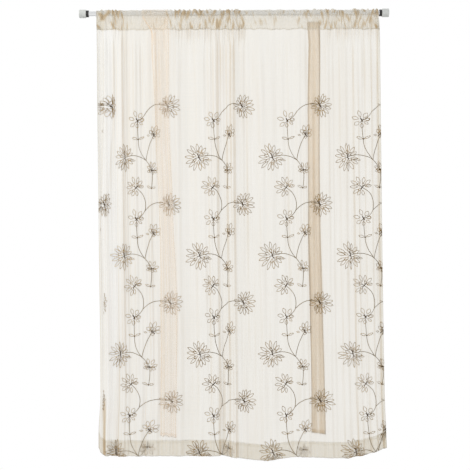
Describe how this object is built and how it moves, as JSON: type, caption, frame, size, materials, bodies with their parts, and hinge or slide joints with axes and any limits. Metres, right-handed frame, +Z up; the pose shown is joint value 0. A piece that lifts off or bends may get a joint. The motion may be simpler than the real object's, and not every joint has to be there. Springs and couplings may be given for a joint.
{
  "type": "sheer curtain and rod",
  "caption": "Sheer ivory voile curtain with a rod pocket, embroidered flowers and long hanging tie sashes, on a slim round rod with end caps.",
  "frame": {"origin": "centre of the left end cap's flat outer face, on the rod's axis", "axes": "+X along the rod from left to right as seen from the front, -Y towards the room (the front of the curtain), +Z up"},
  "size_m": [1.11, 0.0391, 1.6202],
  "materials": {
    "voile": "sheer plain-woven voile, ivory, soft matte sheen",
    "sash_voile": "the same sheer voile, warmer where its layers overlap",
    "embroidery_thread": "brown satin embroidery thread",
    "rod_metal": "bright metal, slightly brushed",
    "cap_plastic": "pale grey, satin",
    "ring_rubber": "black, matte"
  },
  "bodies": {
    "root": {"curtain_panel": "voile", "tie_left": "sash_voile", "tie_right": "sash_voile", "rod_tube": "rod_metal", "rod_end_left": "cap_plastic", "rod_end_right": "cap_plastic", "rod_ring_left": "ring_rubber", "rod_ring_right": "ring_rubber"}
  },
  "joints": []
}
